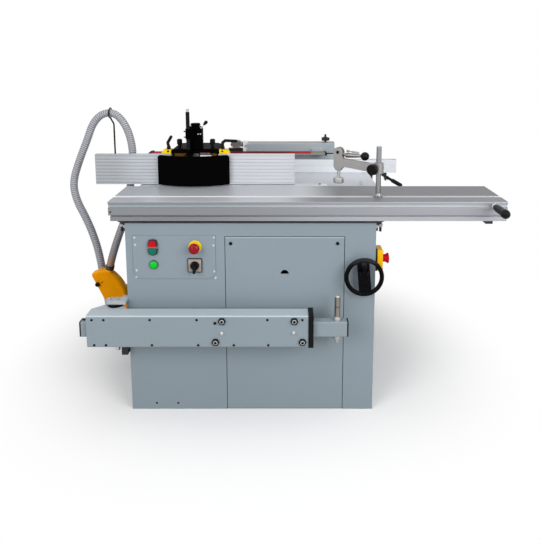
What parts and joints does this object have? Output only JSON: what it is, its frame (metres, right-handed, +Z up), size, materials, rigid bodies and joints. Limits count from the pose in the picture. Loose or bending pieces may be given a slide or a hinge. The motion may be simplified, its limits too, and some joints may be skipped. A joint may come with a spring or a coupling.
{
  "type": "combination woodworking machine",
  "caption": "Floor-standing combination woodworking machine: sliding-table saw with folding outrigger arm, spindle moulder with fences and planer behind, on a sheet steel cabinet.",
  "frame": {"origin": "floor point under the middle of the base, between the cabinet's side walls and between its front wall and the planer's rear wall", "axes": "+X along the tables to the operator's right, +Y away from the operator towards the planer, +Z up"},
  "size_m": [1.7814, 1.053, 1.181],
  "materials": {
    "painted_steel": "grey-blue powder coat",
    "aluminium": "anodised extrusion",
    "cast_iron": "ground casting",
    "bright_steel": "zinc plated",
    "black_steel": "black coat",
    "black_plastic": "moulded",
    "red_plastic": "moulded",
    "green_plastic": "moulded",
    "green_lens": "lens",
    "yellow_plastic": "moulded",
    "orange_plastic": "moulded",
    "bezel_plastic": "moulded",
    "hose_plastic": "translucent spiral hose",
    "belt_rubber": "V belt",
    "red_coat": "red coated"
  },
  "bodies": {
    "base": {"cabinet": "painted_steel", "front_door": "painted_steel", "control_panel": "painted_steel", "signal_lamp": "green_lens", "control_bezels": "bezel_plastic", "estop_box": "yellow_plastic", "lower_rail": "aluminium", "rail_clamps": "black_steel", "main_table": "cast_iron", "saw_insert": "aluminium", "arm_hinge_brackets": "bright_steel", "arm_pivot_pin": "bright_steel", "dust_chute": "painted_steel", "saw_guard": "orange_plastic", "dust_hose": "hose_plastic", "hose_hanger": "black_steel", "moulder_hood": "black_steel", "hood_knobs": "black_plastic", "fence_clamps": "yellow_plastic", "shield_column": "black_steel", "planer_base": "painted_steel", "planer_tables": "cast_iron", "guard_bracket": "bright_steel", "rip_fence_rail": "bright_steel", "moulder_quill": "cast_iron", "drive_motor": "black_steel", "drive_belt": "belt_rubber"},
    "table_body": {"sliding_table": "aluminium", "push_handle": "black_plastic", "clamp_post": "bright_steel"},
    "arm_body": {"swing_arm": "painted_steel", "arm_end_frame": "black_plastic", "arm_rollers": "bright_steel"},
    "tube_body": {"arm_tube": "painted_steel", "support_pin": "bright_steel"},
    "start_button_body": {"start_button": "green_plastic"},
    "stop_button_body": {"stop_button": "red_plastic"},
    "panel_estop_body": {"panel_estop": "red_plastic"},
    "box_estop_body": {"box_estop": "red_plastic"},
    "selector_knob_body": {"selector_knob": "black_plastic"},
    "roller_carriage_body": {"roller_carriage": "bright_steel"},
    "clamp_arm_body": {"clamp_arm": "aluminium"},
    "clamp_lever_body": {"clamp_lever": "bright_steel"},
    "clamp_foot_body": {"clamp_foot": "bright_steel"},
    "handwheel_body": {"handwheel": "black_plastic"},
    "wheel_handle_body": {"wheel_handle": "black_plastic"},
    "saw_carriage_body": {"saw_carriage": "cast_iron"},
    "saw_arbor_body": {"saw_arbor": "bright_steel"},
    "moulder_spindle_body": {"moulder_spindle": "bright_steel"},
    "left_fence_body": {"left_fence": "aluminium"},
    "right_fence_body": {"right_fence": "aluminium"},
    "spindle_shield_body": {"spindle_shield": "black_steel"},
    "left_lock_lever_body": {"left_lock_lever": "black_plastic"},
    "right_lock_lever_body": {"right_lock_lever": "black_plastic"},
    "planer_guard_arm_body": {"planer_guard_arm": "painted_steel"},
    "planer_guard_plate_body": {"planer_guard_plate": "red_coat"},
    "rip_fence_body": {"rip_fence": "aluminium"},
    "rip_fence_lever_body": {"rip_fence_lever": "black_steel"},
    "cutterblock_body": {"cutterblock": "bright_steel"},
    "thicknesser_bed_body": {"thicknesser_bed": "cast_iron"}
  },
  "joints": [
    {"name": "table_slide", "type": "slide", "parent": "base", "child": "table_body", "axis": [1, 0, 0], "range_m": [-0.7, 0.55]},
    {"name": "carriage_roll", "type": "slide", "parent": "base", "child": "roller_carriage_body", "axis": [1, 0, 0], "range_m": [-0.35, 0.275]},
    {"name": "clamp_height", "type": "slide", "parent": "table_body", "child": "clamp_arm_body", "axis": [0, 0, 1], "range_m": [-0.03, 0.05]},
    {"name": "clamp_lever_turn", "type": "hinge", "parent": "clamp_arm_body", "child": "clamp_lever_body", "pos_m": [0.346, -0.298, 1.023], "axis": [-0.5119, -0.859, 0], "range_deg": [0, 75]},
    {"name": "clamp_foot_press", "type": "slide", "parent": "clamp_arm_body", "child": "clamp_foot_body", "axis": [0, 0, 1], "range_m": [0, 0.008]},
    {"name": "arm_swing", "type": "hinge", "parent": "base", "child": "arm_body", "pos_m": [-0.525, -0.451, 0.38], "axis": [0, 0, 1], "range_deg": [-90, 0]},
    {"name": "arm_extend", "type": "slide", "parent": "arm_body", "child": "tube_body", "axis": [1, 0, 0], "range_m": [-0.02, 0.35]},
    {"name": "saw_lift", "type": "slide", "parent": "base", "child": "saw_carriage_body", "axis": [0, 0, 1], "range_m": [0, 0.09]},
    {"name": "handwheel_turn", "type": "hinge", "parent": "base", "child": "handwheel_body", "pos_m": [0.433, -0.472, 0.567], "axis": [0, 1, 0], "range_deg": [0, 1800]},
    {"name": "handle_fold", "type": "hinge", "parent": "handwheel_body", "child": "wheel_handle_body", "pos_m": [0.43091, -0.488, 0.59091], "axis": [0.9962, 0, 0.0872], "range_deg": [0, 90]},
    {"name": "saw_spin", "type": "hinge", "parent": "saw_carriage_body", "child": "saw_arbor_body", "pos_m": [0.1, -0.173, 0.678], "axis": [0, 1, 0], "continuous": true},
    {"name": "spindle_spin", "type": "hinge", "parent": "base", "child": "moulder_spindle_body", "pos_m": [-0.252, -0.1, 0.9], "axis": [0, 0, 1], "continuous": true},
    {"name": "left_fence_slide", "type": "slide", "parent": "base", "child": "left_fence_body", "axis": [1, 0, 0], "range_m": [-0.04, 0.03]},
    {"name": "right_fence_slide", "type": "slide", "parent": "base", "child": "right_fence_body", "axis": [1, 0, 0], "range_m": [-0.03, 0.04]},
    {"name": "shield_lift", "type": "slide", "parent": "base", "child": "spindle_shield_body", "axis": [0, 0, 1], "range_m": [0, 0.06]},
    {"name": "left_lock_turn", "type": "hinge", "parent": "base", "child": "left_lock_lever_body", "pos_m": [-0.3675, -0.12, 1.005], "axis": [0, 0, 1], "range_deg": [-60, 60]},
    {"name": "right_lock_turn", "type": "hinge", "parent": "base", "child": "right_lock_lever_body", "pos_m": [-0.1365, -0.12, 1.005], "axis": [0, 0, 1], "range_deg": [-60, 60]},
    {"name": "guard_height", "type": "slide", "parent": "base", "child": "planer_guard_arm_body", "axis": [0, 0, 1], "range_m": [0, 0.05]},
    {"name": "guard_plate_slide", "type": "slide", "parent": "planer_guard_arm_body", "child": "planer_guard_plate_body", "axis": [1, 0, 0], "range_m": [0, 0.18]},
    {"name": "rip_fence_slide", "type": "slide", "parent": "base", "child": "rip_fence_body", "axis": [0, 1, 0], "range_m": [-0.15, 0.03]},
    {"name": "rip_lever_turn", "type": "hinge", "parent": "rip_fence_body", "child": "rip_fence_lever_body", "pos_m": [0.614, 0.107, 0.832], "axis": [0, -1, 0], "range_deg": [0, 30]},
    {"name": "cutterblock_spin", "type": "hinge", "parent": "base", "child": "cutterblock_body", "pos_m": [0.045, 0.29, 0.823], "axis": [0, 1, 0], "continuous": true},
    {"name": "bed_lift", "type": "slide", "parent": "base", "child": "thicknesser_bed_body", "axis": [0, 0, 1], "range_m": [-0.14, 0.12]},
    {"name": "start_press", "type": "slide", "parent": "base", "child": "start_button_body", "axis": [0, 1, 0], "range_m": [0, 0.004], "stiffness_N_per_m": 400},
    {"name": "stop_press", "type": "slide", "parent": "base", "child": "stop_button_body", "axis": [0, 1, 0], "range_m": [0, 0.004], "stiffness_N_per_m": 400},
    {"name": "panel_estop_press", "type": "slide", "parent": "base", "child": "panel_estop_body", "axis": [0, 1, 0], "range_m": [0, 0.005], "stiffness_N_per_m": 400},
    {"name": "box_estop_press", "type": "slide", "parent": "base", "child": "box_estop_body", "axis": [-1, 0, 0], "range_m": [0, 0.003], "stiffness_N_per_m": 400},
    {"name": "selector_turn", "type": "hinge", "parent": "base", "child": "selector_knob_body", "pos_m": [-0.215, -0.45, 0.605], "axis": [0, 1, 0], "range_deg": [-90, 90]}
  ],
  "couplings": [
    {"joint": "carriage_roll", "follows": "table_slide", "ratio": 0.5},
    {"joint": "clamp_foot_press", "follows": "clamp_lever_turn", "m_per_rad": 0.006035},
    {"joint": "handwheel_turn", "follows": "saw_lift", "rad_per_m": 349.06}
  ]
}
